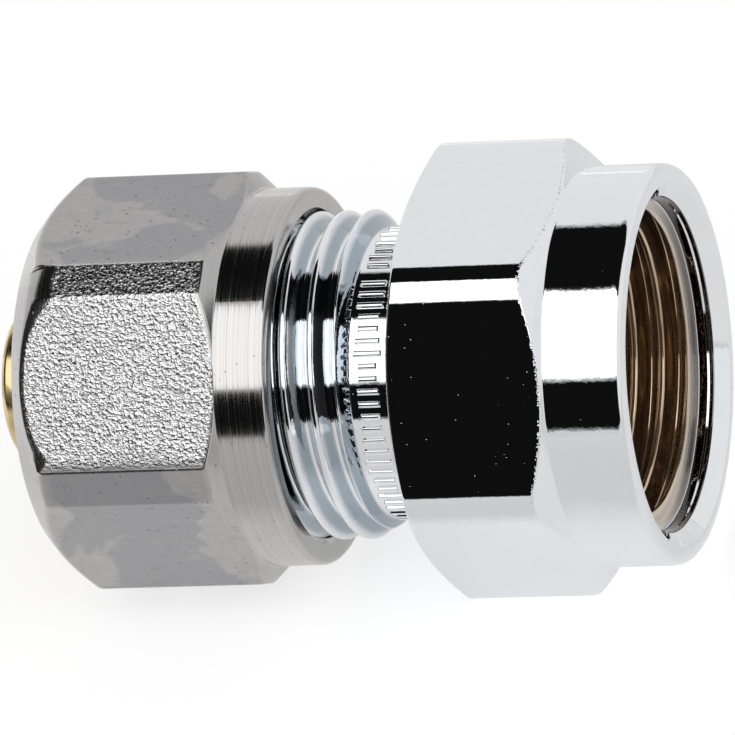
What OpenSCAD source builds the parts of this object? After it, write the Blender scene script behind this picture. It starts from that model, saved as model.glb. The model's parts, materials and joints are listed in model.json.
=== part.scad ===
// Straight compression coupling: a chrome-plated body with a female thread on the right,
// a compression nut on its male thread on the left, and the clamping set inside the nut.
// The axis lies along X, the female port opens towards +X and its mouth is the origin.
// All sizes are in millimetres.

/* [Pipe thread] */
// Pitch of the parallel pipe thread, 14 threads to the inch
thread_pitch = 1.8143; // [1.6:0.0001:2]
// Outside diameter of the thread
thread_major_d = 20.955; // [20:0.005:22]
// Radial play between the nut thread and the body thread
thread_play = 0.15; // [0.12:0.01:0.22]
// Axial play on each flank between the nut thread and the body thread
flank_play = 0.1; // [0.08:0.01:0.12]
// Straight pieces in one turn of a thread
thread_facets = 30; // [24:1:36]
// Angle at which the male thread starts, from straight down
thread_start_angle = 208; // [0:1:359]

/* [Body] */
// How far the round collar at the female port is turned down below the flats
collar_step = 0.3; // [0.1:0.05:0.6]
// Length of that collar
collar_len = 5.15; // [4:0.1:8]
// Rounding of the collar rim
collar_round = 0.8; // [0.3:0.1:1.2]
// How much wider the body hexagon is than the nut hexagon, across the flats
hex_over = 2; // [0.5:0.1:5]
// Rounding of the corners of the body hexagon
hex_round = 2.9; // [0.5:0.1:4]
// Length of the body hexagon
hex_len = 10.35; // [8:0.1:14]
// Diameter at which the left hexagon chamfer starts
hex_left_d = 24.8; // [22:0.1:26.5]
// Slope of the left hexagon chamfer, axial over radial
hex_left_slope = 0.38; // [0.2:0.01:0.7]
// Slope of the right hexagon chamfer, axial over radial
hex_right_slope = 0.62; // [0.2:0.01:0.8]
// Diameter of the smooth neck between hexagon and male thread
neck_d = 18.4; // [17:0.1:18.5]
// Length of the neck
neck_len = 3.5; // [2:0.1:5]
// Length of the male thread
male_len = 10.4; // [9.5:0.1:13]
// Chamfer at the end of the male thread
male_chamfer = 1.2; // [0.6:0.1:1.6]

/* [Female port] */
// Width of the flat rim round the mouth of the port
rim_w = 0.3; // [0.2:0.05:0.6]
// Slope of the mouth chamfer, axial over radial
mouth_slope = 0.8; // [0.5:0.05:1.2]
// Length of the smooth land behind the mouth chamfer
land_len = 1; // [0.4:0.1:2]
// Play of the smooth land round the male thread that goes in
land_play = 0.07; // [0.05:0.01:0.15]
// Length of the cone that leads from the land into the thread
run_in_len = 0.3; // [0.2:0.1:1.4]
// Length of the female thread, from the mouth
port_thread_len = 10.2; // [8:0.1:12]
// Angle at which the female thread starts, from straight down
port_start_angle = 252; // [0:1:359]
// Width of the relief groove at the end of the female thread
relief_w = 1.8; // [1:0.1:2.5]
// Depth of relief grooves past the thread
relief_deep = 0.1; // [0.05:0.05:0.15]
// Length of the smooth tapping bore behind the relief groove
tap_land_len = 2; // [1:0.1:3]

/* [Water way and seat] */
// Room in the socket round the pipe
socket_play = 0.7; // [0.3:0.05:0.9]
// Depth of the straight part of the socket
socket_deep = 4.4; // [3.4:0.1:6]
// Chamfer at the mouth of the socket
socket_chamfer = 0.5; // [0.2:0.1:0.8]
// Play of the insert in the socket and in the water way
insert_play = 0.15; // [0.08:0.01:0.3]

/* [Pipe] */
// Outside diameter of the pipe that is clamped
pipe_d = 14; // [12.6:0.1:15.6]
// Wall of that pipe
pipe_wall = 2; // [1.8:0.1:2.3]
// Play of the tail inside the pipe
tail_play = 0.2; // [0.1:0.05:0.4]
// Play of the pipe in the nut
nut_hole_play = 0.2; // [0.1:0.05:0.4]
// Play of the pipe in the open clamping ring
ring_bore_play = 0.05; // [0.02:0.01:0.2]

/* [Nut] */
// Diameter of the turned collar on the nut
nut_collar_d = 24.1; // [23.4:0.1:26]
// Length of the nut collar
nut_collar_len = 3.4; // [2.5:0.1:5]
// Rounding of the nut collar rim
nut_round = 0.5; // [0.2:0.1:0.8]
// Size of the nut hexagon across its flats
nut_af = 24; // [23.2:0.1:27]
// Width of the narrow flats that cut the corners of the nut hexagon
nut_corner_w = 2.4; // [0.4:0.1:4]
// Length of the nut hexagon
nut_hex_len = 13.9; // [13:0.1:18]
// Diameter of the left end face of the nut
nut_face_d = 21.6; // [18:0.1:23]
// Slope of the left nut chamfer, axial over radial
nut_left_slope = 0.85; // [0.5:0.01:1.2]
// Slope of the right nut chamfer, axial over radial
nut_right_slope = 0.68; // [0.3:0.01:0.9]
// Turn of the nut hexagon against the body hexagon
nut_angle = -6.4; // [-30:0.1:30]
// Length of male thread that is inside the nut
engage_len = 5.8; // [4:0.1:7]
// Depth of the threaded bore of the nut
nut_bore_deep = 8.2; // [7.4:0.1:9]
// Width of the relief groove in the nut
nut_relief_w = 1.4; // [0.8:0.1:1.6]
// Angle of the clamping cone from the axis
cone_angle = 17; // [15:0.5:20]

/* [Clamping ring] */
// Play between the clamping ring and the cone of the nut
cone_play = 0.12; // [0.08:0.01:0.2]
// Wall of the ring at its thick front end
ring_wall = 2.14; // [1.9:0.02:2.2]
// Length of the straight front of the ring
ring_front = 1; // [0.6:0.1:1.4]
// Length of the tapered back of the ring
ring_back = 5; // [4:0.1:5.4]
// Width of the slit in the ring
ring_slit = 1.6; // [0.8:0.1:3]
// Depth of the grip grooves in the ring
grip_deep = 0.3; // [0.1:0.05:0.4]
// Number of grip grooves
grip_count = 4; // [2:1:5]

/* [Insert] */
// Length of tail that stands out of the nut
tail_out = 2.9; // [2.5:0.1:6]
// Chamfer at the end of the tail
tail_chamfer = 0.3; // [0.1:0.05:0.6]
// Wall of the insert under the seal grooves of the tail
insert_wall = 0.62; // [0.4:0.02:0.8]
// Wall of the insert under the seal groove of the pilot
seat_wall = 0.94; // [0.5:0.02:1.2]
// Thickness of the flange
flange_t = 1.6; // [1:0.1:2.4]
// Length of the pilot in the water way
pilot_len = 3.4; // [3:0.1:5]
// Number of grip teeth on the tail
tooth_count = 3; // [2:1:4]
// Depth of the grip teeth
tooth_deep = 0.25; // [0.1:0.05:0.4]
// Length of one grip tooth
tooth_len = 1; // [0.7:0.1:1.2]
// Thickness of the insulating washer
washer_t = 1.4; // [0.8:0.1:2]
// Play of the insulating washer on the tail
washer_play = 0.1; // [0.05:0.01:0.2]

/* [Seals] */
// Section of the pipe seals
pipe_seal_d = 1.3; // [1.1:0.05:1.4]
// How far a pipe seal stands out of its groove
pipe_seal_proud = 0.35; // [0.2:0.05:0.4]
// Distance from the washer to the first pipe seal
pipe_seal_start = 3; // [2:0.1:4]
// Distance between the pipe seals
pipe_seal_step = 3.4; // [2.5:0.1:4]
// Section of the seat seal
seat_seal_d = 1.4; // [1.2:0.05:1.5]
// Play round a seal in its groove
seal_play = 0.03; // [0.02:0.01:0.06]
// Room beside a seal in its groove
seal_room = 0.3; // [0.15:0.05:0.5]

/* [Hidden] */
$fn = 96;
// Colours as in the photograph: bright chrome, warm nickel, brass, black rubber and white plastic
chrome = [0.86, 0.87, 0.88];
nickel = [0.72, 0.70, 0.66];
brass = [0.80, 0.62, 0.30];
rubber = [0.08, 0.08, 0.09];
plastic = [0.93, 0.92, 0.88];
// A cut goes this far past the face that it opens, and a bar this far into the next one
past = 1;
// Angle between the points on a round hexagon corner
corner_step = 7.5;
// A thread cutter goes this far past the wall that it cuts
cut_past = 0.15;
// The 55 degree pipe thread: its depth and its flat crest and root are shares of the pitch
flank_tan = tan(55 / 2);
thread_flat = thread_pitch / 6;
thread_deep = (thread_pitch / 2 - thread_flat) / flank_tan;
major_r = thread_major_d / 2;
minor_r = major_r - thread_deep;
relief_r = major_r + relief_deep;
land_r = major_r + land_play;
nut_minor_r = minor_r + thread_play;
nut_major_r = major_r + thread_play;
nut_relief_r = nut_major_r + relief_deep;
hex_af = nut_af + hex_over;
collar_r = hex_af / 2 - collar_step;
mouth_r = collar_r - collar_round - rim_w;
mouth_deep = (mouth_r - land_r) * mouth_slope;
// A bar in the middle of the nut wall joins the collar to the hexagon
nut_core_r = (nut_relief_r + nut_af / 2) / 2;
// Radii that follow the pipe, from its bore outwards
pipe_r = pipe_d / 2;
tail_r = pipe_r - pipe_wall - tail_play;
bore_r = tail_r + pipe_seal_proud - pipe_seal_d - seal_play - insert_wall;
way_r = bore_r + seat_wall + seat_seal_d + 2 * seal_play;
socket_r = pipe_r + socket_play;
ring_bore_r = pipe_r + ring_bore_play;
ring_r = ring_bore_r + ring_wall;
cone_r = ring_r + cone_play / cos(cone_angle);
// Places along the axis, from the mouth of the female port towards the left
hex_x = -collar_len;
neck_x = hex_x - hex_len;
thread_x = neck_x - neck_len;
end_x = thread_x - male_len;
port_relief_x = -port_thread_len;
tap_x = port_relief_x - relief_w;
port_floor_x = tap_x - tap_land_len;
socket_x = end_x + socket_deep;
seat_x = socket_x + socket_r - way_r;
nut_x = end_x + engage_len;
nut_hex_x = nut_x - nut_collar_len;
nut_end_x = nut_hex_x - nut_hex_len;
cone_x = nut_x - nut_bore_deep;
nut_hole_r = pipe_r + nut_hole_play;
cone_end_x = cone_x - (cone_r - nut_hole_r) / tan(cone_angle);
ring_x = cone_x + ring_front;
ring_end_x = cone_x - ring_back;
ring_end_r = ring_r - ring_back * tan(cone_angle);
tail_x = nut_end_x - tail_out;
flange_r = socket_r - insert_play;
pilot_r = way_r - insert_play;
// The nose cone stands off the 45 degree seat by the same play
nose_x = socket_x + insert_play - insert_play * sqrt(2);
flange_x = nose_x - flange_t;
pilot_x = nose_x + flange_r - pilot_r;
pilot_end_x = pilot_x + pilot_len;
washer_x = flange_x - washer_t;
pipe_seal_r = tail_r + pipe_seal_proud - pipe_seal_d / 2;
front_seal_x = washer_x - pipe_seal_start;
rear_seal_x = front_seal_x - pipe_seal_step;
seat_seal_r = way_r - seal_play - seat_seal_d / 2;
seat_seal_x = (pilot_x + pilot_end_x) / 2;
teeth_x = rear_seal_x - pipe_seal_step / 2;

// Turns a shape that is drawn about Z so that its axis lies along X
module along_x() {
    rotate([0, 90, 0]) children();
}

// Revolves an outline of [place along X, radius] points about the X axis
module turned(outline) {
    along_x() rotate_extrude() polygon([for (p = outline) [p[1], p[0]]]);
}

// A round bar from one place to another
module bar(from_x, to_x, r) {
    translate([min(from_x, to_x), 0, 0]) along_x() cylinder(r = r, h = abs(to_x - from_x));
}

// A hexagon of the given width across its flats, with a round at each corner
function round_hexagon(across_flats, corner_round) =
    let (centre_r = (across_flats / 2 - corner_round) / cos(30))
    [for (corner = [0:60:300], a = [-30:corner_step:30])
        [centre_r * cos(corner) + corner_round * cos(corner + a),
         centre_r * sin(corner) + corner_round * sin(corner + a)]];

// A hexagon of the given width across its flats, with a narrow flat at each corner
function cut_hexagon(across_flats, corner_flat) =
    let (reach = across_flats / 2 / cos(30) - corner_flat / 2 * tan(30))
    [for (corner = [0:60:300], side = [-1, 1])
        [reach * cos(corner) - side * corner_flat / 2 * sin(corner),
         reach * sin(corner) + side * corner_flat / 2 * cos(corner)]];

// A bar of a hexagon outline, two corners of it level on the Y axis before it is turned by angle
module hex_bar(from_x, to_x, outline, angle) {
    translate([min(from_x, to_x), 0, 0]) along_x() rotate([0, 0, 30 + angle])
        linear_extrude(abs(to_x - from_x)) polygon(outline);
}

// A round bar whose right rim is rounded by a quarter circle
module rimmed_bar(from_x, to_x, r, rim) {
    arc = [for (a = [0:15:90]) [to_x - rim + rim * sin(a), r - rim + rim * cos(a)]];
    turned(concat([[from_x, 0], [from_x, r]], arc, [[to_x, 0]]));
}

// The helical room of a thread: a section of two widths carried along a right-hand helix
module thread_room(in_r, in_w, out_r, out_w, from_x, start, turns) {
    steps = ceil(turns * thread_facets);
    points = [for (i = [0:steps]) let (a = start + i * 360 / thread_facets,
                                       x = from_x + i * thread_pitch / thread_facets)
        each [for (c = [[in_r, -in_w], [in_r, in_w], [out_r, out_w], [out_r, -out_w]])
            [c[0] * cos(a), c[0] * sin(a), x + c[1] / 2]]];
    sides = [for (i = [0:steps - 1], k = [0:3]) let (b = 4 * i + k, c = 4 * i + (k + 1) % 4)
        each [[b, b + 4, c + 4], [b, c + 4, c]]];
    last = 4 * steps;
    ends = [[0, 1, 2, 3], [last + 3, last + 2, last + 1, last]];
    along_x() polyhedron(points = points, faces = concat(ends, sides), convexity = 12);
}

// The groove of a male thread, cut into a bar of the outside diameter
module male_groove(from_x, to_x, start) {
    out_r = major_r + cut_past;
    thread_room(minor_r, thread_flat, out_r, thread_flat + 2 * (out_r - minor_r) * flank_tan,
                from_x, start, (to_x - from_x) / thread_pitch);
}

// The groove of a female thread of the given radii, with play on each flank
module female_groove(bore_r, root_r, play, from_x, to_x, start) {
    in_r = bore_r - cut_past;
    width = thread_flat + 2 * play;
    thread_room(in_r, width + 2 * (major_r - in_r) * flank_tan,
                root_r, width - 2 * (root_r - major_r) * flank_tan,
                from_x, start, (to_x - from_x) / thread_pitch);
}

// Groove of a ring seal: as wide as the seal with room on both sides
module seal_groove(x, seal_r, seal_d, out_r) {
    half = seal_d / 2 + seal_room;
    difference() {
        bar(x - half, x + half, out_r);
        bar(x - half - past, x + half + past, seal_r - seal_d / 2 - seal_play);
    }
}

// A rubber ring round the axis
module seal_ring(x, seal_r, seal_d) {
    translate([x, 0, 0]) along_x() rotate_extrude()
        translate([seal_r, 0]) circle(d = seal_d, $fn = 32);
}

// Body hexagon with turned chamfers at both ends
module body_hexagon() {
    corner_r = hex_af / 2 / cos(30) + past;
    left_r = hex_left_d / 2;
    intersection() {
        hex_bar(neck_x, hex_x, round_hexagon(hex_af, hex_round), 0);
        turned([[neck_x, 0], [neck_x, left_r],
                [neck_x + (corner_r - left_r) * hex_left_slope, corner_r],
                [hex_x - (corner_r - collar_r) * hex_right_slope, corner_r],
                [hex_x, collar_r], [hex_x, 0]]);
    }
}

// Everything that is bored out of the body: the port, the water way, the seat and the socket
module body_bores() {
    land_x = -mouth_deep - land_len;
    turned([[past, 0], [past, mouth_r], [0, mouth_r], [-mouth_deep, land_r],
            [land_x, land_r], [land_x - run_in_len, minor_r], [port_relief_x, minor_r],
            [port_relief_x, relief_r], [tap_x, relief_r], [tap_x, minor_r],
            [port_floor_x, minor_r], [port_floor_x, way_r], [seat_x, way_r],
            [socket_x, socket_r], [end_x + socket_chamfer, socket_r],
            [end_x, socket_r + socket_chamfer], [end_x - past, socket_r + socket_chamfer],
            [end_x - past, 0]]);
}

// The chrome-plated body: collar, hexagon, neck and male thread in one piece
module fitting_body() {
    color(chrome) difference() {
        union() {
            rimmed_bar(hex_x - past, 0, collar_r, collar_round);
            body_hexagon();
            bar(thread_x - past, neck_x + past, neck_d / 2);
            turned([[thread_x, 0], [thread_x, major_r], [end_x + male_chamfer, major_r],
                    [end_x, major_r - male_chamfer], [end_x, 0]]);
        }
        body_bores();
        male_groove(end_x - thread_pitch, thread_x + thread_pitch / 2, thread_start_angle);
        female_groove(minor_r, major_r, 0, port_relief_x - relief_w / 2, 0, port_start_angle);
    }
}

// Nut hexagon with a turned chamfer at each end
module nut_hexagon() {
    corner_r = nut_af / 2 / cos(30) + past;
    left_r = nut_face_d / 2;
    right_r = nut_collar_d / 2;
    intersection() {
        hex_bar(nut_end_x, nut_hex_x, cut_hexagon(nut_af, nut_corner_w), nut_angle);
        turned([[nut_end_x, 0], [nut_end_x, left_r],
                [nut_end_x + (corner_r - left_r) * nut_left_slope, corner_r],
                [nut_hex_x - (corner_r - right_r) * nut_right_slope, corner_r],
                [nut_hex_x, right_r], [nut_hex_x, 0]]);
    }
}

// Everything that is bored out of the nut: thread bore, relief, clamping cone and pipe hole
module nut_bores() {
    lead_in = nut_relief_r - nut_minor_r;
    turned([[nut_x + past, 0], [nut_x + past, nut_relief_r], [nut_x, nut_relief_r],
            [nut_x - lead_in, nut_minor_r], [cone_x + nut_relief_w, nut_minor_r],
            [cone_x + nut_relief_w, nut_relief_r], [cone_x, nut_relief_r], [cone_x, cone_r],
            [cone_end_x, nut_hole_r], [nut_end_x - past, nut_hole_r], [nut_end_x - past, 0]]);
}

// The compression nut: hexagon and turned collar, threaded onto the body
module compression_nut() {
    color(nickel) difference() {
        union() {
            rimmed_bar(nut_hex_x, nut_x, nut_collar_d / 2, nut_round);
            bar(nut_hex_x - past, nut_hex_x + past, nut_core_r);
            nut_hexagon();
        }
        nut_bores();
        // The groove lies on the ridge of the male thread and starts in the relief of the nut
        female_groove(nut_minor_r, nut_major_r, flank_play,
                      end_x - 0.75 * thread_pitch, nut_x, thread_start_angle - 90);
    }
}

// The slit clamping ring: a cone outside, grip grooves inside
module clamp_ring() {
    grip_step = (ring_x - ring_end_x) / (grip_count + 1);
    color(brass) difference() {
        turned([[ring_x, ring_bore_r], [ring_x, ring_r], [cone_x, ring_r],
                [ring_end_x, ring_end_r], [ring_end_x, ring_bore_r]]);
        for (i = [1:grip_count]) translate([ring_x - i * grip_step, 0, 0])
            turned([[-grip_deep, 0], [-grip_deep, ring_bore_r], [0, ring_bore_r + grip_deep],
                    [grip_deep, ring_bore_r], [grip_deep, 0]]);
        translate([ring_end_x - past, 0, -ring_slit / 2])
            cube([ring_x - ring_end_x + 2 * past, ring_r + past, ring_slit]);
    }
}

// The brass insert: pilot and nose in the body, flange, and the tail that carries the pipe
module pipe_insert() {
    color(brass) difference() {
        turned([[tail_x, 0], [tail_x, tail_r - tail_chamfer], [tail_x + tail_chamfer, tail_r],
                [flange_x, tail_r], [flange_x, flange_r], [nose_x, flange_r], [pilot_x, pilot_r],
                [pilot_end_x - tail_chamfer, pilot_r], [pilot_end_x, pilot_r - tail_chamfer],
                [pilot_end_x, 0]]);
        bar(tail_x - past, pilot_end_x + past, bore_r);
        seal_groove(seat_seal_x, seat_seal_r, seat_seal_d, way_r);
        for (x = [front_seal_x, rear_seal_x])
            seal_groove(x, pipe_seal_r, pipe_seal_d, tail_r + past);
        for (i = [0:tooth_count - 1]) translate([teeth_x - i * tooth_len, 0, 0]) difference() {
            bar(-tooth_len, 0, tail_r + past);
            turned([[-tooth_len, 0], [-tooth_len, tail_r - tooth_deep], [0, tail_r], [0, 0]]);
        }
    }
}

// The rubber ring that seals the insert in the water way
module seat_o_ring() {
    color(rubber) seal_ring(seat_seal_x, seat_seal_r, seat_seal_d);
}

// The rubber ring on the tail that is nearer to the flange
module front_pipe_o_ring() {
    color(rubber) seal_ring(front_seal_x, pipe_seal_r, pipe_seal_d);
}

// The rubber ring on the tail that is nearer to the pipe
module rear_pipe_o_ring() {
    color(rubber) seal_ring(rear_seal_x, pipe_seal_r, pipe_seal_d);
}

// The plastic washer that keeps the end of the pipe off the brass flange
module insulating_washer() {
    color(plastic) difference() {
        bar(washer_x, flange_x, pipe_r);
        bar(washer_x - past, flange_x + past, tail_r + washer_play);
    }
}

fitting_body();
compression_nut();
clamp_ring();
pipe_insert();
seat_o_ring();
front_pipe_o_ring();
rear_pipe_o_ring();
insulating_washer();
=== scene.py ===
# %% [markdown]
# # A compression fitting
# A chrome-plated body with a female pipe thread on the right takes a nickel-plated nut on the left.
# The nut drives a slit ring onto a plastic pipe that sits on a brass tail.
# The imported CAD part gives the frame, the joints and the sizes. This lesson dresses it: each piece is one
# surface on a grid, made by carrying a section round the axis.

# %% Load the frame
import json
import math

import bpy
import numpy as np
from mathutils import Matrix, Vector

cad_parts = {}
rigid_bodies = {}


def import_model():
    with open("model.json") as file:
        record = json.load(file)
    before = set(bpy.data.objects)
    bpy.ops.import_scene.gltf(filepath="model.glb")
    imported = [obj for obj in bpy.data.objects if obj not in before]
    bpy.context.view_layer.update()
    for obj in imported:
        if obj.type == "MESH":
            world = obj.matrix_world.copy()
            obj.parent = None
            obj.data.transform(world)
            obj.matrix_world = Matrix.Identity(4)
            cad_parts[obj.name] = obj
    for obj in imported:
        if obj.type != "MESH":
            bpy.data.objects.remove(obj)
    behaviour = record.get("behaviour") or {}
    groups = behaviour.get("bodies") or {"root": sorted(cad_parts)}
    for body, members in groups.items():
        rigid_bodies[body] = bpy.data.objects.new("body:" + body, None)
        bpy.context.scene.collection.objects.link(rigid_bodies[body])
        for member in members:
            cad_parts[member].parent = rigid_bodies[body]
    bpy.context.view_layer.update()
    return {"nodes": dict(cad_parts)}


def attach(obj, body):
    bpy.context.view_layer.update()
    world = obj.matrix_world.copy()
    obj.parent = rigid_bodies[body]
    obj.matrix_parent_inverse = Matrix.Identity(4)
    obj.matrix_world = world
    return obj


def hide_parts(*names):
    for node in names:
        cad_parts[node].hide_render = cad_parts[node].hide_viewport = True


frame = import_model()
print("nodes:", ", ".join(sorted(frame["nodes"])))

# %% [markdown]
# ## Sizes of the thread
# Lengths are in millimetres along the axis of the fitting, from the mouth of the port at x = 0 towards
# the pipe at negative x. The thread is the usual G 1/2 pipe thread, so its pitch and diameter give the
# scale of everything else.

# %% Sizes of the thread
MM = 0.001
PITCH, MAJOR_R, MINOR_R = 1.8143, 10.4775, 9.3158
MIDDLE_R = (MAJOR_R + MINOR_R) / 2
FLANK = math.tan(math.radians(27.5))
print("thread depth", round(MAJOR_R - MINOR_R, 3), "mm")

# %% [markdown]
# ## A section carried round the axis
# On a lathe a section is swept round an axis. Here the section may change with the angle, so that one
# grid can hold a hexagon and a round collar. Rows follow the section and columns follow the angle. Both
# close on themselves, so the surface has no seam and no hole.
# The angle starts at the front (minus Y) and grows towards the top.

# %% Grid surface
def ring_points(section, angle):
    """Points of a section of rows (x, r) by columns: x along the axis, and r turned by the angle of its
    column."""
    x, r = section[:, 0], section[:, 1]
    return np.stack([x, -r * np.cos(angle), r * np.sin(angle)], axis=-1)


def grid_piece(name, points):
    """A mesh on a grid that closes both ways, with normals that weigh each face by its area."""
    rows, cols = points.shape[:2]
    i, j = np.meshgrid(np.arange(rows), np.arange(cols), indexing="ij")
    down, on = (i + 1) % rows, (j + 1) % cols
    quads = np.stack([i * cols + j, down * cols + j, down * cols + on, i * cols + on], axis=-1)
    across = np.roll(points, (-1, -1), (0, 1)) - points
    back = np.roll(points, -1, 1) - np.roll(points, -1, 0)
    area = np.cross(across, back)
    if np.sum(area * points) < 0:
        quads, area = quads[..., ::-1], -area
    normal = area + np.roll(area, 1, 0) + np.roll(area, 1, 1) + np.roll(area, (1, 1), (0, 1))
    normal /= np.linalg.norm(normal, axis=-1, keepdims=True)
    mesh = bpy.data.meshes.new(name)
    mesh.from_pydata((points * MM).reshape(-1, 3), [], quads.reshape(-1, 4))
    mesh.shade_smooth()
    mesh.normals_split_custom_set_from_vertices(normal.reshape(-1, 3))
    piece = bpy.data.objects.new(name, mesh)
    bpy.context.collection.objects.link(piece)
    print(name, rows, "x", cols, "grid,", 2 * rows * cols, "triangles")
    return piece


def paint(piece, name, values):
    """Keeps one number per vertex under a name that a material can read."""
    layer = piece.data.attributes.new(name, "FLOAT", "POINT")
    layer.data.foreach_set("value", np.ascontiguousarray(values, dtype=np.float32).ravel())


def belongs(piece, body, node):
    """Says which body carries the piece and which CAD node it stands for, and hides that node."""
    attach(piece, body)
    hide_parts(node)


# %% [markdown]
# ## Rounded corners
# No machined edge is perfectly sharp, and an edge shows as a bright line only because it is a little
# round. Each corner of a section becomes a short parabola that leaves one side and joins the next.

# %% Section helpers
def rounded(corners, cols, steps=4):
    """Rows (x, r) of an open section. A corner is (x, r, size) and is replaced by a parabola that starts
    and ends `size` from it, or less where two corners share a short side. The end points stay as they
    are."""
    place = np.array([[np.broadcast_to(x, cols), np.broadcast_to(r, cols)] for x, r, _ in corners])
    size = np.array([np.broadcast_to(s, cols) for _, _, s in corners])[:, None] + 1e-9
    room = 0.9 * size[1:-1] / (size[1:-1] + size[:-2]), 0.9 * size[1:-1] / (size[1:-1] + size[2:])
    mid, size = place[1:-1], size[1:-1]
    back, ahead = place[:-2] - mid, place[2:] - mid
    start = mid + back * np.minimum(size / np.linalg.norm(back, axis=1, keepdims=True), room[0])
    end = mid + ahead * np.minimum(size / np.linalg.norm(ahead, axis=1, keepdims=True), room[1])
    t = np.linspace(0, 1, steps + 1)[None, :, None, None]
    arcs = (1 - t) ** 2 * start[:, None] + 2 * t * (1 - t) * mid[:, None] + t ** 2 * end[:, None]
    return np.concatenate([place[:1], arcs.reshape(-1, 2, cols), place[-1:]])


def section_rows(x, r):
    """Rows (x, r) of a section, from places and radii that broadcast to rows by columns."""
    return np.stack(np.broadcast_arrays(x, r), axis=1)


# %% [markdown]
# ## Hexagons
# A hexagon is a radius that changes with the angle. Its edges are rounded by a circle, or cut off by a
# small flat with a circle on either side. The grid needs more columns there than on the flats.

# %% Hexagon helpers
def corner_edge(flats, corner_flat, rounding):
    """Reach of the corner flat, the centre (out, side) of the circle that rounds its edge, seen from the
    corner, and the two angles from the axis between which the circle is the outline."""
    reach = flats / 2 / math.cos(math.pi / 6) - corner_flat / 2 * math.tan(math.pi / 6)
    out = reach - rounding
    side = max(flats - 2 * rounding - 2 * out * math.cos(math.pi / 6), 0)
    first = math.atan2(side, reach)
    last = math.atan2(side + rounding / 2, out + rounding * math.cos(math.pi / 6))
    return reach, out, side, first, last


def hexagon_columns(flats, corner_flat, rounding, turn):
    """Angles of the grid columns: close together where the outline bends and wider on the flats."""
    _, _, _, first, last = corner_edge(flats, corner_flat, rounding)
    half = np.concatenate([np.linspace(0, first, 3 if first else 1)[:-1], np.linspace(first, last, 7)[:-1],
                           np.linspace(last, math.pi / 6, 11)])
    one = np.concatenate([-half[:0:-1], half[:-1]])
    sides = np.arange(6)[:, None] * math.pi / 3
    return (math.radians(turn) + sides + one).ravel()


def hexagon_radius(angle, flats, corner_flat, rounding, turn):
    """Distance from the axis to a hexagon: each flat is its distance over the cosine of the angle from its
    middle, and the edge between two flats is the far side of its rounding circle."""
    reach, out, side, first, last = corner_edge(flats, corner_flat, rounding)
    off = np.abs((angle - math.radians(turn) + math.pi / 6) % (math.pi / 3) - math.pi / 6)
    along, beside = out * np.cos(off) + side * np.sin(off), out * np.sin(off) - side * np.cos(off)
    arc = along + np.sqrt(np.maximum(rounding ** 2 - beside ** 2, 0))
    flat = flats / 2 / np.cos(math.pi / 6 - off)
    return np.select([off <= first, off < last], [reach / np.cos(off), arc], flat)


# %% [markdown]
# ## Threads
# A pipe thread is cut with a 55 degree tool and rounded at crest and root. Seen along one line of the
# axis, the radius is a zigzag. Turning the line round the axis shifts the zigzag by one pitch a turn.

# %% Thread
def zigzag(x, angle, lead, soft=0.09):
    """Height of a right-hand thread over its middle: minus half the depth in the groove, plus half on the
    ridge. The zigzag is held at both ends by the difference of two hyperbolas, which rounds it."""
    half = (MAJOR_R - MINOR_R) / 2
    along = np.abs(((x - lead) / PITCH + angle / (2 * math.pi) + 0.5) % 1 - 0.5) * PITCH
    rise = (along - PITCH / 4) / FLANK
    return (np.sqrt((rise + half) ** 2 + soft ** 2) - np.sqrt((rise - half) ** 2 + soft ** 2)) / 2


def thread_rows(start, end, per_pitch=24):
    """Places along the axis for the rows of a thread."""
    count = int(abs(end - start) / PITCH * per_pitch)
    return np.linspace(start, end, count)[:, None]


# %% [markdown]
# ## The body
# The body is forged hot from brass. The collar and the thread are then turned, and the port is bored and
# tapped. Last, it is polished and plated with chrome. One section goes all the way round: over the collar
# and the hexagon, along the male thread, and back through the water way and the port.

# %% Sizes of the body
EDGE, FINE = 0.15, 0.1  # rounds of a usual edge and of a fine one
# Along the axis from the port: the hexagon, the neck, the male thread and the left end
HEX_X, NECK_X, THREAD_X, END_X = -5.15, -15.5, -19.0, -29.4
COLLAR_R, COLLAR_ROUND, NECK_R = 12.7, 0.8, 9.2
HEX_FLATS, HEX_ROUND, HEX_LEFT_R = 26.0, 2.9, 12.4
HEX_LEFT_SLOPE, HEX_RIGHT_SLOPE = 0.38, 0.62
# The port from its mouth inwards, then the water way, the seat and the socket of the insert
MOUTH_R, MOUTH_DEEP, LAND_R, LAND_X, RUN_IN = 11.6, 0.842, 10.5475, -1.842, 0.3
RELIEF_X, TAP_X, FLOOR_X, RELIEF_R = -10.2, -12.0, -14.0, 10.5775
WAY_R, SEAT_X, SOCKET_R, SOCKET_X = 5.6, -22.9, 7.7, -25.0
print("body", -END_X, "mm long,", HEX_FLATS, "mm across the flats")

# %% [markdown]
# ## The outside of the body
# This part of the section runs from the land behind the mouth over the collar and the hexagon to the neck.
# The hexagon's chamfers are cones, so their edges bow along every flat.

# %% Outside of the body
# A round that meets itself leaves no flat at the corner
HEX_CORNER = 2 * HEX_ROUND * math.tan(math.pi / 12)
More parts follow.
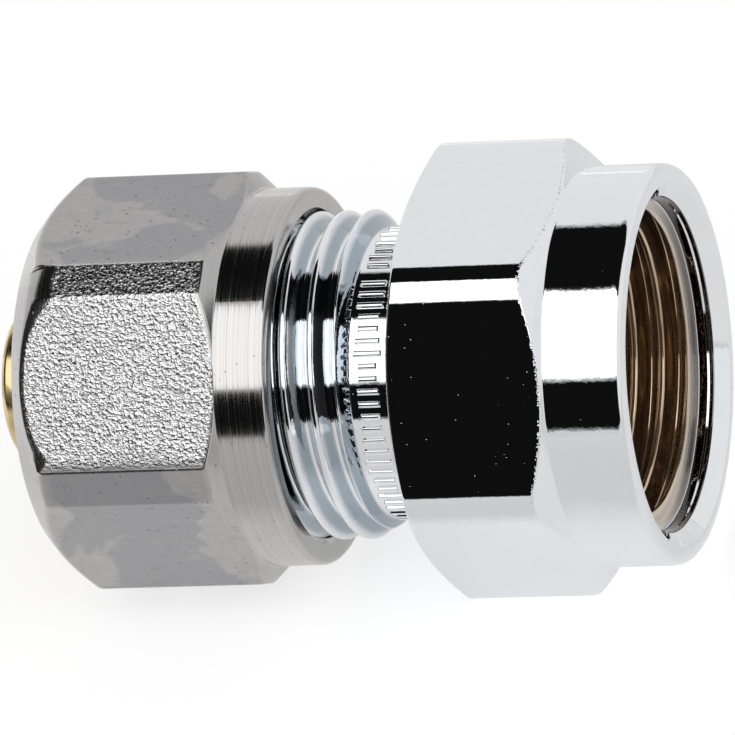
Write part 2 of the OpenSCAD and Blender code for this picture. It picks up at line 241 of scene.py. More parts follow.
# Two tools meet in the land behind the mouth and leave a shallow step
STEP, STEP_X = 0.05, -MOUTH_DEEP - 0.28
angle = hexagon_columns(HEX_FLATS, HEX_CORNER, HEX_ROUND, 0)
cols = len(angle)
hexagon = hexagon_radius(angle, HEX_FLATS, HEX_CORNER, HEX_ROUND, 0)
right_edge = HEX_X - (hexagon - COLLAR_R) * HEX_RIGHT_SLOPE
left_edge = NECK_X + (hexagon - HEX_LEFT_R) * HEX_LEFT_SLOPE
outside = rounded([
    (LAND_X + 0.05, LAND_R, 0), (STEP_X - 0.15, LAND_R, 0.03), (STEP_X, LAND_R + STEP, 0.03),
    (-MOUTH_DEEP, LAND_R + STEP, 0.08), (0, MOUTH_R, 0.12), (0, COLLAR_R, COLLAR_ROUND),
    (HEX_X, COLLAR_R, EDGE), (right_edge, hexagon, EDGE), (left_edge, hexagon, EDGE),
    (NECK_X, HEX_LEFT_R, EDGE), (NECK_X, NECK_R, 0.5), (THREAD_X + 0.4, NECK_R, 0)], cols, steps=5)
print("outside of the body:", len(outside), "rows")

# %% [markdown]
# ## Threads and bore of the body
# The male thread rises out of the neck and ends in a chamfer that leads the nut on. The thread in the port
# is the same zigzag turned inside out, and it fades into the land behind the mouth.

# %% Threads and bore of the body
MALE_LEAD, LEAD_IN = END_X + PITCH * 62 / 360, 1.2
RISE_X, RISE_LENGTH = THREAD_X + 0.1, 0.6
x = thread_rows(THREAD_X + 0.3, END_X)
rise = np.maximum(NECK_R + (RISE_X - x) / RISE_LENGTH, NECK_R)
lead_in = MAJOR_R - LEAD_IN + (x - END_X)
male = section_rows(x, np.minimum(MIDDLE_R + zigzag(x, angle, MALE_LEAD), np.minimum(rise, lead_in)))

END_FACE_R, SOCKET_MOUTH_R = 9.0, 8.2
bore = rounded([
    (END_X, END_FACE_R, 0), (END_X, SOCKET_MOUTH_R, FINE), (END_X + 0.5, SOCKET_R, FINE),
    (SOCKET_X, SOCKET_R, EDGE), (SEAT_X, WAY_R, EDGE), (FLOOR_X, WAY_R, 0.2), (FLOOR_X, MINOR_R, EDGE),
    (TAP_X, MINOR_R, EDGE), (TAP_X, RELIEF_R, EDGE), (RELIEF_X - 0.05, RELIEF_R, 0)], cols)

PORT_LEAD = TAP_X + 0.9 + PITCH * 1.05
x = thread_rows(RELIEF_X, LAND_X)
run_in = LAND_R + (x - LAND_X) * (LAND_R - MINOR_R) / RUN_IN
port = section_rows(x, np.maximum(MIDDLE_R - zigzag(x, angle, PORT_LEAD), run_in))

section = np.concatenate([outside, male, bore, port])
body = grid_piece("body_surface", ring_points(section, angle))
belongs(body, "fitting", "fitting_body")

# %% [markdown]
# ## Masks on the body
# The finish has to know where the metal is bare and where shade is painted. Each mask is one number per
# vertex: bare metal in the port, painted shade on the flanks in the grooves of the male thread, the turned
# collar, the edge between the hexagon and its right chamfer, where knocks gather, and a painted dark
# reflection on the land behind the mouth.

# %% Masks on the body
x, r = section[:, 0], section[:, 1]
plated = len(outside) + len(male)
past_land = np.where(x > SEAT_X, LAND_X - x, 0)
raw = np.interp(past_land, (0, 0.05, RUN_IN, RUN_IN + 0.2), (0, 0.65, 0.65, 1))
raw[:plated] = 0
slope = np.gradient(male[:, 1], axis=0) / np.gradient(male[:, 0], axis=0)
in_groove = np.clip((MIDDLE_R + 0.4 - male[:, 1]) / 0.3, 0, 1)
# Painted shade: the right-facing flanks in the grooves of the male thread are tinted grey-blue in the
# colour
flank = np.zeros_like(raw)
flank[len(outside):plated] = np.clip(-slope - 0.4, 0, 1) * in_groove
turned = (x > HEX_X) & (r > COLLAR_R - 0.5)
knocked = np.clip((0.14 - np.hypot(x - right_edge, r - hexagon)) / 0.08, 0, 1)
# Painted dark reflection: the land behind the mouth, apart from the edges of its step, is darkened in the
# colour
off_step = np.clip(np.abs(r - LAND_R - STEP / 2) / STEP * 8 - 2.6, 0, 1)
painted_land_shade = ((x > LAND_X) & (r < LAND_R + STEP + 0.03)) * off_step
for label, mask in (("raw", raw), ("flank", flank), ("turned", turned), ("knocked", knocked),
                    ("painted_land_shade", painted_land_shade)):
    paint(body, label, mask)
    print(label, "covers", round(100 * float(np.mean(mask)), 1), "% of the points")

# %% [markdown]
# ## Bars on the neck
# Raised bars of uneven length run round the neck, as they come from the forging die. They are one closed
# sleeve that lies just under the wall of the neck and rises through it at each bar. Its rows follow the
# length of the bar in their column, so a few of them are enough for crisp ends.

# %% Bars surface
BARS, BAR_HALF, BAR_RISE, BAR_X = 72, 0.2, 0.2, -17.7
SHORTEST, LONGEST, GAP_SHARE, SLEEVE = 0.6, 0.92, 0.12, 0.3
# Places across an edge of a bar, as the distance inside it, and the height there
INSIDE, HEIGHT = (-0.04, 0, 0.04, 0.1), (-0.06, 0, 0.75 * BAR_RISE, BAR_RISE)


def both_edges(half):
    """Places from plus to minus `half`, close together at both edges and with one in the middle."""
    edge = half - np.array(INSIDE).reshape((-1,) + (1,) * np.ndim(half))
    return np.concatenate([edge, 0 * edge[:1], -edge[::-1]])


dice = np.random.default_rng(5)
step = 2 * math.pi * NECK_R / BARS
beside = np.append(both_edges(BAR_HALF), -step / 2)[::-1]
angle = (np.arange(BARS)[:, None] * step + beside).ravel() / NECK_R
half_len = np.repeat(dice.uniform(SHORTEST, LONGEST, BARS), len(beside))
gap = np.repeat(dice.random(BARS) < GAP_SHARE, len(beside))
along = both_edges(half_len)
inside = np.minimum(half_len - np.abs(along), BAR_HALF - np.abs(np.tile(beside, BARS)))
top = NECK_R + np.interp(np.where(gap, -1, inside), INSIDE, HEIGHT)
under = section_rows(along[[-1, 0]], NECK_R - SLEEVE)
section = np.concatenate([section_rows(along, top), under])
section[:, 0] += BAR_X
bars = grid_piece("neck_bars", ring_points(section, angle))
belongs(bars, "fitting", "fitting_body")

# %% [markdown]
# ## The nut
# The nut is forged, so its hexagon keeps a grainy skin under the nickel. Only the collar, the end chamfer
# and the bore have seen a lathe. The nut hangs on the thread at its own angle, a little off the body's.

# %% Sizes of the nut
# Along the axis from the right: the collar, the hexagon and the left end
NUT_X, NUT_HEX_X, NUT_END_X = -23.6, -27.0, -40.9
NUT_FLATS, NUT_CORNER, NUT_ROUND, NUT_TURN = 24.0, 2.4, 0.6, 6.4
NUT_COLLAR_R, NUT_FACE_R, NUT_HOLE_R = 12.05, 10.8, 7.2
NUT_LEFT_SLOPE, NUT_RIGHT_SLOPE = 0.85, 0.68
# Inside: the thread with its play, the relief behind it, and the cone that closes the clamp ring
NUT_PLAY, NUT_LEAD = 0.15, END_X + PITCH * (152 / 360 - 0.75)
NUT_RELIEF_X, NUT_RELIEF_R = -30.4, 10.7275
CONE_X, CONE_END_X, CONE_R = -31.8, -38.72, 9.3158
print("nut", round(NUT_X - NUT_END_X, 1), "mm long,", NUT_FLATS, "mm across the flats")

# %% [markdown]
# ## The skin of the nut
# A press has held the nut by two opposite flats, each with the bevel beside it, and has left them grainy.
# Their left edges are worn rounder too. Two masks tell the finish where the forged skin and the grain are.

# %% Nut surface
# Degrees from the middle of a flat and its bevel, where the grain starts, is full, and stops again
GRIPPED = (-29.2, -28.2, 29.9, 30.7)
angle = hexagon_columns(NUT_FLATS, NUT_CORNER, NUT_ROUND, NUT_TURN)
cols = len(angle)
hexagon = hexagon_radius(angle, NUT_FLATS, NUT_CORNER, NUT_ROUND, NUT_TURN)
corner_half = math.atan2(NUT_CORNER / 2, corner_edge(NUT_FLATS, NUT_CORNER, NUT_ROUND)[0])
off_front = (angle - math.radians(NUT_TURN + 30) + math.pi / 2) % math.pi - math.pi / 2
gripped = np.interp(np.degrees(off_front - corner_half), GRIPPED, (0, 1, 1, 0))
left_round = 0.3 + 0.8 * gripped * (hexagon - NUT_FLATS / 2) ** 2
right_edge = NUT_HEX_X - np.maximum(hexagon - NUT_COLLAR_R, 0) * NUT_RIGHT_SLOPE
left_edge = NUT_END_X + (hexagon - NUT_FACE_R) * NUT_LEFT_SLOPE
outside = rounded([
    (NUT_X, NUT_RELIEF_R + 0.02, 0), (NUT_X, NUT_COLLAR_R, 0.5), (NUT_HEX_X, NUT_COLLAR_R, 0.12),
    (right_edge, hexagon, 0.25), (left_edge, hexagon, left_round), (NUT_END_X, NUT_FACE_R, 0.25),
    (NUT_END_X, NUT_HOLE_R, 0.3), (CONE_END_X, NUT_HOLE_R, FINE), (CONE_X, CONE_R, FINE),
    (CONE_X, NUT_RELIEF_R, EDGE), (NUT_RELIEF_X - 0.05, NUT_RELIEF_R, 0)], cols, steps=5)

x = thread_rows(NUT_RELIEF_X, NUT_X)
inside = MIDDLE_R + NUT_PLAY - zigzag(x, angle, NUT_LEAD)
section = np.concatenate([outside, section_rows(x, np.maximum(inside, NUT_RELIEF_R + (x - NUT_X)))])
nut = grid_piece("nut_surface", ring_points(section, angle))
on_flat = np.clip(1 - (hexagon - section[:, 1]) / 0.03, 0, 1)
on_hexagon = (section[:, 1] > NUT_FACE_R - 0.2) & (section[:, 0] < NUT_HEX_X - 0.02)
forged = on_hexagon * (1 + on_flat) / 2
paint(nut, "forged", forged)
paint(nut, "gripped", forged * gripped * on_flat)
belongs(nut, "nut", "compression_nut")

# %% [markdown]
# ## The brass insert
# The insert is turned from brass bar and left bare. Its pilot and nose sit in the body, the flange takes
# the push of the pipe, and the tail carries two seal grooves and three teeth inside the pipe.

# %% Insert surface
angle = np.linspace(0, 2 * math.pi, 128, endpoint=False)
cols = len(angle)
TAIL_R, BORE_R, TAIL_X, FLANGE_X, NOSE_X = 4.8, 3.2, -43.8, -26.662, -25.062
FLANGE_R, PILOT_R, PILOT_X, PILOT_END_X = 7.55, 5.45, -22.962, -19.562
FRONT_SEAL_X, REAR_SEAL_X, SEAT_SEAL_X = -31.062, -34.462, -21.262
GROOVE, GROOVE_R = 0.95, 3.82
SEAT_GROOVE, SEAT_GROOVE_R = 1.0, 4.14
TOOTH_X, TOOTH_END_X, TOOTH_R, TEETH_END_X = -36.162, -37.12, 4.55, -39.2
SEAM_X, BEVEL, SHARP = -20.0, 0.3, 0.04


def groove(middle, half, top, deep):
    """Four corners of a square groove, from right to left."""
    return [(x, r, FINE) for x, r in ((middle + half, top), (middle + half, deep),
                                     (middle - half, deep), (middle - half, top))]


shoulder = [(PILOT_X, PILOT_R, FINE), (NOSE_X, FLANGE_R, EDGE), (FLANGE_X, FLANGE_R, FINE),
            (FLANGE_X, TAIL_R, 0.2)]
teeth = [corner for n in range(3) for corner in
         ((TOOTH_X - n, TAIL_R, SHARP), (TOOTH_END_X - n, TOOTH_R, SHARP))]
tail = [(TEETH_END_X, TAIL_R, SHARP), (TAIL_X + BEVEL, TAIL_R, 0.12), (TAIL_X, TAIL_R - BEVEL, 0.12),
        (TAIL_X, BORE_R, EDGE), (PILOT_END_X, BORE_R, EDGE), (PILOT_END_X, PILOT_R - BEVEL, FINE),
        (PILOT_END_X - BEVEL, PILOT_R, FINE)]
corners = [(SEAM_X, PILOT_R, 0), *groove(SEAT_SEAL_X, SEAT_GROOVE, PILOT_R, SEAT_GROOVE_R), *shoulder,
           *groove(FRONT_SEAL_X, GROOVE, TAIL_R, GROOVE_R), *groove(REAR_SEAL_X, GROOVE, TAIL_R, GROOVE_R),
           *teeth, *tail, (SEAM_X + 0.05, PILOT_R, 0)]
insert = grid_piece("insert_surface", ring_points(rounded(corners, cols, steps=3), angle))
belongs(insert, "fitting", "pipe_insert")

# %% [markdown]
# ## Rings and washer
# The seals are moulded rubber rings, so each is a torus: a circle carried round the axis. The washer is
# punched from plastic sheet and has a plain rectangular section.

# %% Seals and washer
SEAL_R, SEAL_THICK, SEAT_SEAL_R, SEAT_SEAL_THICK = 4.5, 1.3, 4.87, 1.4
turn = np.linspace(0, 2 * math.pi, 28, endpoint=False)[:, None]
seals = []
for node, place, ring_r, thick in (("seat_o_ring", SEAT_SEAL_X, SEAT_SEAL_R, SEAT_SEAL_THICK),
                                   ("front_pipe_o_ring", FRONT_SEAL_X, SEAL_R, SEAL_THICK),
                                   ("rear_pipe_o_ring", REAR_SEAL_X, SEAL_R, SEAL_THICK)):
    circle = section_rows(place + thick / 2 * np.cos(turn), ring_r + thick / 2 * np.sin(turn) + 0 * angle)
    seal = grid_piece(node + "_surface", ring_points(circle, angle))
    belongs(seal, "fitting", node)
    seals.append(seal)

WASHER_X, WASHER_R, WASHER_HOLE_R, WASHER_SEAM_X = -28.062, 7, 4.9, -27.4
edge = rounded([
    (WASHER_SEAM_X, WASHER_R, 0), (FLANGE_X, WASHER_R, FINE), (FLANGE_X, WASHER_HOLE_R, FINE),
    (WASHER_X, WASHER_HOLE_R, FINE), (WASHER_X, WASHER_R, FINE), (WASHER_SEAM_X - 0.05, WASHER_R, 0)], cols)
washer = grid_piece("washer_surface", ring_points(edge, angle))
belongs(washer, "fitting", "insulating_washer")

# %% [markdown]
# ## The clamp ring
# The ring is turned from brass with a cone outside and four grip grooves inside. A saw cuts it through
# once, at the back, so that the cone in the nut can close it on the pipe. Its section is carried round
# the axis from one side of the slit to the other, and each end is closed by one flat face.

# %% Clamp ring surface
RING_X, RING_END_X, RING_R, RING_END_R, RING_BORE_R = -30.8, -36.8, 9.19, 7.662, 7.05
GRIP, GRIP_STEP, SLIT = 0.3, 1.2, 1.6
grips = [(RING_X - GRIP_STEP * n + side, RING_BORE_R + deep) for n in range(4, 0, -1)
         for side, deep in ((-GRIP, 0), (0, GRIP), (GRIP, 0))]
loop = np.array([(RING_X, RING_BORE_R), (RING_X, RING_R), (CONE_X, RING_R),
                 (RING_END_X, RING_END_R), (RING_END_X, RING_BORE_R)] + grips)
half_slit = math.asin(SLIT / 2 / RING_BORE_R)
around = np.linspace(math.pi + half_slit, 3 * math.pi - half_slit, 121)
points = ring_points(np.repeat(loop[:, :, None], len(around), axis=2), around)
rows, cols = points.shape[:2]
i, j = np.meshgrid(np.arange(rows), np.arange(cols - 1), indexing="ij")
down = (i + 1) % rows
quads = np.stack([i * cols + j, i * cols + j + 1, down * cols + j + 1, down * cols + j], axis=-1)
ends = [list(range(0, rows * cols, cols)), list(range(cols - 1, rows * cols, cols))[::-1]]
mesh = bpy.data.meshes.new("clamp_ring_surface")
mesh.from_pydata((points * MM).reshape(-1, 3), [], quads.reshape(-1, 4).tolist() + ends)
mesh.shade_smooth()
mesh.set_sharp_from_angle(angle=math.radians(30))
ring = bpy.data.objects.new("clamp_ring_surface", mesh)
bpy.context.collection.objects.link(ring)
belongs(ring, "clamp", "clamp_ring")
print("clamp ring", rows, "x", cols, "grid")

# %% [markdown]
# ## Finishes
# Plating follows the metal under it, so a finish is mostly a matter of how the light is scattered. The
# patterns are built from shader nodes, and this class gives each kind of node a short name.

# %% Shader nodes by short names
class Nodes:
    """A node tree, with a short call for each kind of node that the finishes need."""

    def __init__(self, tree):
        self.tree = tree

    def feed(self, value, socket):
        """Links a socket to another one, or sets it to a constant."""
        if isinstance(value, bpy.types.NodeSocket):
            self.tree.links.new(value, socket)
        else:
            socket.default_value = value

    def add(self, kind, inputs=None, **settings):
        """One node. Its settings come first, because they decide which inputs it has."""
        made = self.tree.nodes.new(kind)
        for name, value in settings.items():
            setattr(made, name, value)
        for name, value in (inputs or {}).items():
            self.feed(value, made.inputs[name])
        return made

    def calc(self, operation, *values):
        """One sum of one or two values."""
        return self.add("ShaderNodeMath", dict(enumerate(values)), operation=operation).outputs[0]

    def times(self, first, second):
        return self.calc("MULTIPLY", first, second)

    def plus(self, first, second):
        return self.calc("ADD", first, second)

    def minus(self, first, second):
        return self.calc("SUBTRACT", first, second)

    def ramp(self, value, low, high, to_low=0.0, to_high=1.0):
        """A value moved smoothly from one range to another."""
        limits = {"Value": value, "From Min": low, "From Max": high, "To Min": to_low, "To Max": to_high}
        return self.add("ShaderNodeMapRange", limits, interpolation_type="SMOOTHSTEP").outputs["Result"]

    def mix(self, factor, first, second):
        """A colour between two colours."""
        return self.add("ShaderNodeMix", {0: factor, 6: first, 7: second}, data_type="RGBA").outputs[2]

    def split(self, vector):
        return self.add("ShaderNodeSeparateXYZ", {"Vector": vector}).outputs

    def noise(self, place, size, detail, **more):
        inputs = {"Vector": place, "Scale": size, "Detail": detail, **more}
        return self.add("ShaderNodeTexNoise", inputs).outputs["Fac"]

    def attribute(self, name):
        return self.add("ShaderNodeAttribute", attribute_name=name).outputs["Fac"]

    def use(self, name, **inputs):
        """A shared effect with its own values."""
        return self.add("ShaderNodeGroup", inputs, node_tree=bpy.data.node_groups[name]).outputs[0]

    def bump(self, height, distance):
        """A normal that follows a height times a distance in millimetres."""
        return self.add("ShaderNodeBump", {"Height": height, "Distance": distance * MM}).outputs[0]


def grey(level):
    return (level, level, level, 1)


# %% [markdown]
# ## Shared effects
# Several finishes share a pattern, so each pattern is a node group: pits left by dust in the plating bath,
# a grain, fine lines from the lathe, stains and scratches. They work on the object's own coordinates in
# millimetres, so they stay on the metal when the nut turns.

# %% Shared effects
def group(name, inputs, output):
    """A node group that takes a place and the named numbers, and gives one value: its nodes, what it is
    given, and the socket that it gives."""
    tree = bpy.data.node_groups.new(name, "ShaderNodeTree")
    tree.interface.new_socket("Place", in_out="INPUT", socket_type="NodeSocketVector")
    for label in inputs:
        tree.interface.new_socket(label, in_out="INPUT", socket_type="NodeSocketFloat")
    tree.interface.new_socket(output, in_out="OUTPUT", socket_type="NodeSocketFloat")
    given = tree.nodes.new("NodeGroupInput").outputs
    return Nodes(tree), given, tree.nodes.new("NodeGroupOutput").inputs[0]


n, given, out = group("pits", ["Size", "Share"], "Mask")
uneven = n.noise(given["Place"], 9.0, 2.0)
cells = n.add("ShaderNodeTexVoronoi", {"Vector": given["Place"], "Scale": given["Size"]}).outputs
chosen = n.calc("LESS_THAN", n.split(cells["Color"])["X"], given["Share"])
n.feed(n.times(n.ramp(n.times(cells["Distance"], n.plus(uneven, 0.5)), 0.1, 0.3, 1, 0), chosen), out)

n, given, out = group("grain", ["Size", "Detail"], "Height")
n.feed(n.noise(given["Place"], given["Size"], given["Detail"], Roughness=0.65), out)

n, given, out = group("lathe_lines", ["Size"], "Height")
along = n.add("ShaderNodeCombineXYZ", {"X": n.split(given["Place"])["X"]}).outputs[0]
n.feed(n.noise(along, given["Size"], 3.0), out)

n, given, out = group("stains", ["Size", "Edge", "Soft"], "Mask")
cloud = n.minus(n.noise(given["Place"], given["Size"], 4.0, Distortion=0.6), given["Edge"])
n.feed(n.ramp(n.calc("DIVIDE", cloud, given["Soft"]), -0.5, 0.5), out)

n, given, out = group("scratches", ["Size"], "Mask")
long_way = n.add("ShaderNodeMapping", {"Vector": given["Place"], "Scale": (0.1, 1, 1)}).outputs[0]
line = n.calc("ABSOLUTE", n.minus(n.noise(long_way, given["Size"], 2.0), 0.5))
n.feed(n.times(n.ramp(line, 0.0, 0.008, 1, 0), n.ramp(n.noise(given["Place"], 0.5, 1.0), 0.52, 0.6)), out)
print("groups:", ", ".join(g.name for g in bpy.data.node_groups))

# %% [markdown]
# ## Chrome
# The body is polished and then plated with a thin, hard, slightly blue chrome, so it is a mirror. Polishing
# leaves it a little wavy, and handling leaves scratches and knocks. The flanks in the male thread get a
# painted grey-blue shade, and the land behind the mouth gets a painted dark reflection. The tapped thread
# in the port is bare and brown.

# %% Chrome
def material(name, *pieces):
    """A new material on the given pieces: its nodes, its shader's inputs, and the place in millimetres."""
    made = bpy.data.materials.new(name)
    made.use_nodes = True
    for piece in pieces:
        piece.data.materials.append(made)
    n = Nodes(made.node_tree)
    coords = n.add("ShaderNodeTexCoord").outputs["Object"]
    place = n.add("ShaderNodeMapping", {"Vector": coords, "Scale": (1000, 1000, 1000)}).outputs[0]
    return n, made.node_tree.nodes["Principled BSDF"].inputs, place


n, shader, place = material("chrome", body, bars)
labels = "raw", "turned", "flank", "knocked", "painted_land_shade"
raw, turned, flank, knocked, painted_land_shade = (n.attribute(label) for label in labels)
pits = n.use("pits", Place=place, Size=7.0, Share=0.008)
dents = n.times(knocked, n.ramp(n.use("grain", Place=place, Size=3.0, Detail=2.0), 0.5, 0.62))
scratches = n.times(n.use("scratches", Place=place, Size=1.6), n.minus(1.0, raw))
waves = n.use("grain", Place=place, Size=0.9, Detail=3.0)
lines = n.use("lathe_lines", Place=place, Size=5.0)
plate = n.mix(waves, (0.88, 0.895, 0.925, 1), (0.96, 0.97, 0.985, 1))
# Painted shade: grey-blue on the flanks of the male thread
plate = n.mix(flank, plate, (0.42, 0.48, 0.525, 1))
# Painted dark reflection: the land behind the mouth is darkened
plate = n.mix(painted_land_shade, plate, (0.2, 0.2, 0.21, 1))
bronze = n.mix(n.ramp(lines, 0.3, 0.7), (0.34, 0.245, 0.16, 1), (0.80, 0.64, 0.47, 1))
n.feed(n.mix(raw, plate, bronze), shader["Base Color"])
rough = n.minus(n.ramp(raw, 0, 0.6, 0.012, 0.25), n.ramp(raw, 0.7, 1.0, 0.0, 0.14))
n.feed(n.plus(rough, n.times(n.plus(pits, n.times(scratches, 0.3)), 0.2)), shader["Roughness"])
height = n.minus(n.times(waves, 0.3), n.times(pits, 0.15))
height = n.plus(height, n.minus(n.times(n.times(turned, lines), 0.035), n.times(dents, 1.5)))
n.feed(n.bump(height, 0.02), shader["Normal"])
n.feed(n.ramp(raw, 0, 1, 1.0, 0.95), shader["Metallic"])
# Cutting oil is left on the bare thread
n.feed(n.ramp(raw, 0.7, 1.0, 0.0, 0.6), shader["Coat Weight"])
shader["Coat Roughness"].default_value = 0.08
print("chrome:", len(n.tree.nodes), "nodes")

# %% [markdown]
# ## Nickel
# The nut is forged, blasted and plated with warm grey nickel. Its flats keep a dull, stained skin. Two of
# them have been gripped in a press and are grainy and bright, and the collar shows the turns of the lathe.

# %% Nickel
n, shader, place = material("nickel", nut)
forged, gripped = (n.attribute(label) for label in ("forged", "gripped"))
on_collar = n.minus(1.0, forged)
# Stains gather near both ends of the hexagon, where the nut is handled
along = n.split(place)["X"]
edge = n.ramp(along, NUT_END_X + 2, NUT_END_X + 5, 0.44, 0.59)
edge = n.minus(edge, n.ramp(along, NUT_HEX_X - 4, NUT_HEX_X - 1.5, 0.0, 0.11))
stains = n.use("stains", Place=place, Size=0.16, Edge=edge, Soft=0.06)
pits = n.use("pits", Place=place, Size=2.6, Share=0.1)
scratches = n.use("scratches", Place=place, Size=1.1)
grain = n.use("grain", Place=place, Size=4.6, Detail=1.7)
skin = n.use("grain", Place=place, Size=1.3, Detail=5.0)
lines = n.use("lathe_lines", Place=place, Size=7.0)
streaks = n.times(on_collar, n.ramp(lines, 0.35, 0.65))
patches = n.plus(n.times(stains, 0.55), n.times(n.minus(skin, 0.5), 0.9))
colour = n.mix(patches, (0.365, 0.36, 0.37, 1), (0.53, 0.52, 0.505, 1))
colour = n.mix(n.times(on_collar, 0.75), colour, (0.645, 0.63, 0.615, 1))
colour = n.mix(n.times(streaks, 0.4), colour, (0.35, 0.335, 0.325, 1))
speckle = n.plus(n.times(n.ramp(grain, 0.36, 0.64), 0.6), n.times(skin, 0.4))
colour = n.mix(gripped, colour, n.mix(speckle, grey(0.42), (0.92, 0.91, 0.915, 1)))
marks = n.times(n.calc("MAXIMUM", pits, n.times(scratches, forged)), 0.5)
n.feed(n.mix(marks, colour, (0.2, 0.18, 0.17, 1)), shader["Base Color"])
rough = n.minus(n.ramp(forged, 0, 1, 0.06, 0.24), n.times(gripped, 0.08))
n.feed(n.plus(rough, n.times(streaks, 0.12)), shader["Roughness"])
height = n.plus(n.times(n.times(forged, skin), 0.06), n.times(n.times(on_collar, lines), 0.04))
relief = n.minus(n.times(gripped, n.times(grain, 0.36)), n.times(n.times(forged, pits), 0.2))
height = n.plus(height, relief)
n.feed(n.bump(height, 0.2), shader["Normal"])
shader["Metallic"].default_value = 1.0
print("nickel:", len(n.tree.nodes), "nodes")

# %% [markdown]
# ## Brass, rubber and plastic
# The insert and the clamp ring are bare turned brass, dulled in patches by fingers. The seals are black
# rubber with a trace of dust, and the washer is white plastic that has yellowed unevenly.

# %% Brass, rubber and plastic
n, shader, place = material("brass", insert, ring)
dull = n.use("stains", Place=place, Size=0.35, Edge=0.5, Soft=0.05)
n.feed(n.mix(dull, (0.70, 0.55, 0.29, 1), (0.58, 0.44, 0.22, 1)), shader["Base Color"])
n.feed(n.ramp(dull, 0, 1, 0.2, 0.32), shader["Roughness"])
n.feed(n.bump(n.use("lathe_lines", Place=place, Size=6.0), 0.003), shader["Normal"])
shader["Metallic"].default_value = 1.0

n, shader, place = material("rubber", *seals)
dust = n.use("stains", Place=place, Size=1.2, Edge=0.55, Soft=0.05)
n.feed(n.mix(dust, (0.018, 0.018, 0.02, 1), (0.035, 0.034, 0.034, 1)), shader["Base Color"])
n.feed(n.ramp(dust, 0, 1, 0.45, 0.6), shader["Roughness"])

n, shader, place = material("white_plastic", washer)
tint = n.use("stains", Place=place, Size=0.6, Edge=0.5, Soft=0.05)
n.feed(n.mix(tint, (0.80, 0.79, 0.76, 1), (0.74, 0.73, 0.70, 1)), shader["Base Color"])
n.feed(n.ramp(tint, 0, 1, 0.38, 0.48), shader["Roughness"])
print("materials:", ", ".join(m.name for m in bpy.data.materials if m.users))

# %% [markdown]
# ## Studio
# Chrome shows nothing of its own, only the room. The fitting was lit from long soft boxes with dark gaps
# between them, parallel to the axis. The world repeats that: mirror-like rays see white with two dark
# bands, placed by the angle round the axis from the front over the top. Far out to the left front the room
# is dark, and far out to the right it is white. Rays from the camera see plain white.

# %% World
# Angles in degrees, with the brightness of the room there
BANDS = ((-180, 0.80), (-20, 0.80), (-6, 0.64), (0, 0.64), (2, 0.005), (29, 0.005), (30.5, 1.0),
         (80.5, 1.0), (83, 0.005), (124, 0.005), (127, 0.78), (180, 0.80))
world = bpy.data.worlds.new("studio")
bpy.context.scene.world = world
world.use_nodes = True
world.node_tree.nodes.clear()
n = Nodes(world.node_tree)
way = n.split(n.add("ShaderNodeTexCoord").outputs["Generated"])
over = n.calc("ARCTAN2", way["Z"], n.times(way["Y"], -1.0))
whole_turn = {"Value": over, "From Min": -math.pi, "From Max": math.pi}
share = n.add("ShaderNodeMapRange", whole_turn).outputs["Result"]
bands = n.add("ShaderNodeValToRGB", {"Fac": share})
stops = bands.color_ramp.elements
while len(stops) < len(BANDS):
    stops.new(0.5)
# All places come before the levels, because a stop that moves may change places with another
for stop, (at, _) in zip(stops, BANDS):
    stop.position = (at + 180) / 360
for stop, (_, level) in zip(stops, BANDS):
    stop.color = grey(level)
not_left_front = n.calc("MAXIMUM", n.ramp(way["X"], -0.6, -0.45), n.ramp(way["Y"], -0.1, 0.1))
room = n.mix(not_left_front, grey(0.03), bands.outputs["Color"])
room = n.mix(n.ramp(way["X"], 0.64, 0.72), room, (0.80, 0.81, 0.82, 1))
path = n.add("ShaderNodeLightPath").outputs
room = n.mix(path["Is Camera Ray"], room, grey(1.0))
mirrored = n.calc("MAXIMUM", path["Is Glossy Ray"], path["Is Transmission Ray"])
seen = n.calc("MAXIMUM", path["Is Camera Ray"], mirrored)
fill = n.add("ShaderNodeBackground", {"Color": grey(1.0), "Strength": 0.3}).outputs[0]
shown = n.add("ShaderNodeBackground", {"Color": room, "Strength": 1.0}).outputs[0]
both = n.add("ShaderNodeMixShader", {0: seen, 1: fill, 2: shown}).outputs[0]
n.add("ShaderNodeOutputWorld", {"Surface": both})
print("dark bands at", [at for at, level in BANDS if level < 0.1])

# %% [markdown]
# ## Floor
# The fitting lies on one flat of its body hexagon on a pale sheet. One large soft lamp above gives the
# sheet its shadow. The camera sees the sheet as white. Mirror rays see it glow with painted light, dim in
# front and brighter behind and far to the left, which gives the lower flats their tones.

# %% Floor
FLOOR_Z, FLOOR_HALF, FLOOR_LINES = -HEX_FLATS / 2, 600, 9
side = np.linspace(-FLOOR_HALF, FLOOR_HALF, FLOOR_LINES)
fx, fy = np.meshgrid(side, side, indexing="ij")
first = np.arange(FLOOR_LINES - 1)
corner = (first[:, None] * FLOOR_LINES + first).ravel()
quads = np.stack([corner, corner + FLOOR_LINES, corner + FLOOR_LINES + 1, corner + 1], axis=-1)
mesh = bpy.data.meshes.new("floor")
mesh.from_pydata(np.stack([fx, fy, np.full_like(fx, FLOOR_Z)], axis=-1).reshape(-1, 3) * MM, [],
                 quads.tolist())
floor = bpy.data.objects.new("floor", mesh)
bpy.context.collection.objects.link(floor)
n, shader, place = material("sheet_painted_glow", floor)
tone = n.use("stains", Place=place, Size=0.004, Edge=0.5, Soft=0.05)
n.feed(n.mix(tone, grey(0.88), grey(0.885)), shader["Base Color"])
path = n.add("ShaderNodeLightPath").outputs
at = n.split(place)
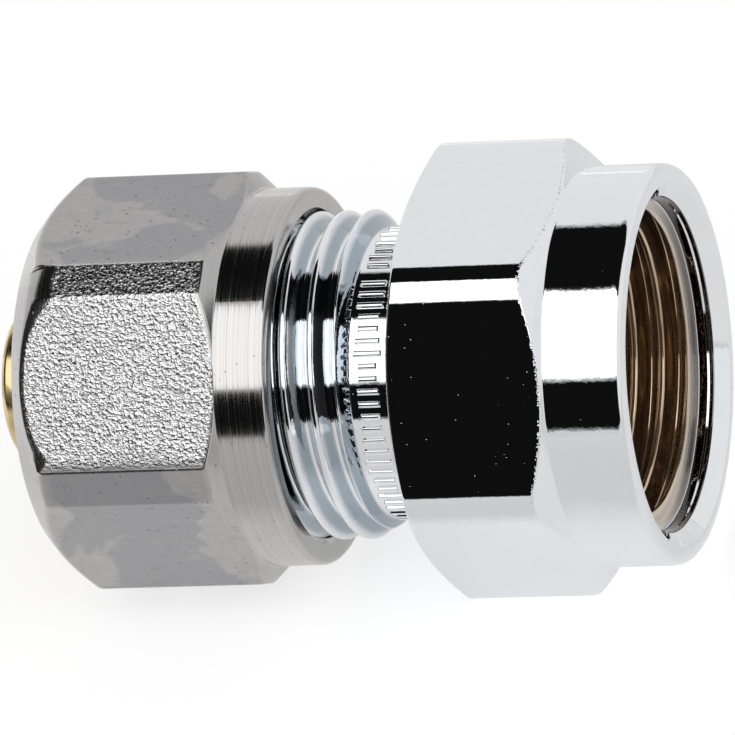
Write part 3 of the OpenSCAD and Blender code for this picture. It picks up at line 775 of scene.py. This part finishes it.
# Painted light: levels of a glow that only mirror rays see, brighter under the nut and the body, dim in
# front and bright far to the left
UNDER_NUT, UNDER_BODY, IN_FRONT, FAR_LEFT, TO_CAMERA = 0.45, 0.34, 0.21, 0.65, 0.61
under = n.mix(n.ramp(at["X"], -28.0, -16.0), grey(UNDER_NUT), grey(UNDER_BODY))
sheet_painted_glow = n.mix(n.ramp(at["Y"], -26.0, -14.0), grey(IN_FRONT), under)
left = n.times(n.ramp(at["X"], -85.0, -65.0, 1, 0), n.ramp(at["Y"], -140.0, -100.0))
sheet_painted_glow = n.mix(left, sheet_painted_glow, grey(FAR_LEFT))
glow = n.mix(path["Is Glossy Ray"], grey(0.0), sheet_painted_glow)
n.feed(n.mix(path["Is Camera Ray"], glow, grey(TO_CAMERA)), shader["Emission Color"])
shader["Emission Strength"].default_value = 1.0
shader["Roughness"].default_value = 0.9
shader["Specular IOR Level"].default_value = 0.0
print("floor at", FLOOR_Z, "mm")

# %% [markdown]
# ## Lamp
# The lamp stands above and in front, turned to face the fitting, and it fills the white gap between the two
# dark bands of the room.

# %% Lamp
LAMP_ANGLE, LAMP_AWAY = math.radians(56), 0.62
lamp = bpy.data.lights.new("soft_box", "AREA")
lamp.shape, lamp.size, lamp.size_y, lamp.energy = "RECTANGLE", 1.0, 0.58, 1.2
lamp_object = bpy.data.objects.new("soft_box", lamp)
lamp_object.location = (0.1, -LAMP_AWAY * math.cos(LAMP_ANGLE), LAMP_AWAY * math.sin(LAMP_ANGLE))
lamp_object.rotation_euler = (math.pi / 2 - LAMP_ANGLE, 0, 0)
bpy.context.collection.objects.link(lamp_object)
bpy.context.scene.view_settings.view_transform = "Standard"
print("lamp", lamp.energy, "W")

# %% [markdown]
# ## Camera
# A long lens from the front right, above: the axis is turned 18 degrees towards the viewer, and the eye
# stands 37 degrees above the axis. The place was fitted to the outline of the photo.

# %% Camera
AZIMUTH, RISE, ROLL = math.radians(18.046), math.radians(37.0), math.radians(1.883)
DISTANCE, PIXELS_PER_MM, PICTURE = 753.55, 15.729, 735
LOOK_X, SHIFT_X, SHIFT_Y = -20.65, 0.44, 6.635
axis = Vector((1, 0, 0))
towards = Vector((0, -math.cos(RISE), math.sin(RISE)))
up = Vector((0, math.sin(RISE), math.cos(RISE)))
right = axis * math.cos(AZIMUTH) - towards * math.sin(AZIMUTH)
back = axis * math.sin(AZIMUTH) + towards * math.cos(AZIMUTH)
right, up = right * math.cos(ROLL) - up * math.sin(ROLL), right * math.sin(ROLL) + up * math.cos(ROLL)
shift = (up * SHIFT_Y - right * SHIFT_X) / PIXELS_PER_MM
eye = (Vector((LOOK_X, 0, 0)) + back * DISTANCE + shift) * MM
lens = bpy.data.cameras.new("camera")
lens.sensor_width = 36
lens.lens = PIXELS_PER_MM * DISTANCE * lens.sensor_width / PICTURE
lens.clip_start, lens.clip_end = 0.05, 5
camera = bpy.data.objects.new("camera", lens)
camera.matrix_world = Matrix((right, up, back)).transposed().to_4x4()
camera.matrix_world.translation = eye
bpy.context.collection.objects.link(camera)
bpy.context.scene.camera = camera
print("lens", round(lens.lens), "mm")
